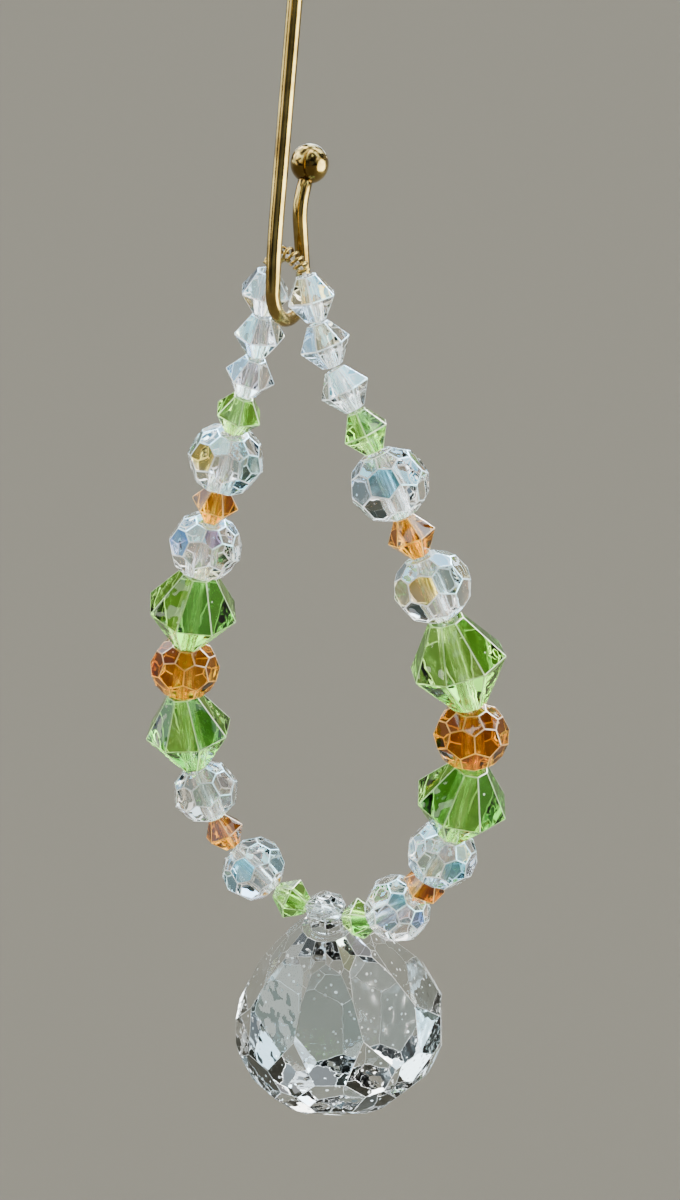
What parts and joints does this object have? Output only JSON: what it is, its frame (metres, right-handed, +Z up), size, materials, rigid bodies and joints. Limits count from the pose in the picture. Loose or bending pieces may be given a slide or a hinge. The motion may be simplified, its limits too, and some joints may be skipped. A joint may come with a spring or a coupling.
{
  "type": "crystal suncatcher",
  "caption": "Hanging suncatcher: a teardrop loop of clear, green and amber cut crystal beads with a large faceted drop, on a gold S-shaped wire hook.",
  "frame": {"origin": "the inside top of the hook's upper bend, where it rests on whatever carries it", "axes": "+Z up, with the bead loop and drop hanging down along -Z; the bead loop lies in the XZ plane and the hook is bent in the YZ plane, its stem on the +Y side at the top"},
  "size_m": [0.0361, 0.0224, 0.1266],
  "materials": {
    "clear_crystal": "clear cut crystal with a thin rainbow coating",
    "green_crystal": "transparent peridot green cut crystal",
    "amber_crystal": "transparent amber cut crystal",
    "gold_wire": "polished, gold coloured",
    "nylon_thread": "clear beading thread"
  },
  "bodies": {
    "root": {"hook": "gold_wire", "thread_guard_coil": "gold_wire", "thread": "nylon_thread", "clear_small_bead_right_01": "clear_crystal", "clear_small_bead_right_02": "clear_crystal", "clear_small_bead_right_03": "clear_crystal", "green_small_bead_right_04": "green_crystal", "clear_round_bead_right_05": "clear_crystal", "amber_small_bead_right_06": "amber_crystal", "clear_round_bead_right_07": "clear_crystal", "green_large_bead_right_08": "green_crystal", "amber_round_bead_right_09": "amber_crystal", "green_large_bead_right_10": "green_crystal", "clear_round_bead_right_11": "clear_crystal", "amber_small_bead_right_12": "amber_crystal", "clear_round_bead_right_13": "clear_crystal", "green_small_bead_right_14": "green_crystal", "clear_small_bead_left_01": "clear_crystal", "clear_small_bead_left_02": "clear_crystal", "clear_small_bead_left_03": "clear_crystal", "green_small_bead_left_04": "green_crystal", "clear_round_bead_left_05": "clear_crystal", "amber_small_bead_left_06": "amber_crystal", "clear_round_bead_left_07": "clear_crystal", "green_large_bead_left_08": "green_crystal", "amber_round_bead_left_09": "amber_crystal", "green_large_bead_left_10": "green_crystal", "clear_round_bead_left_11": "clear_crystal", "amber_small_bead_left_12": "amber_crystal", "clear_round_bead_left_13": "clear_crystal", "green_small_bead_left_14": "green_crystal", "drop": "clear_crystal"}
  },
  "joints": []
}
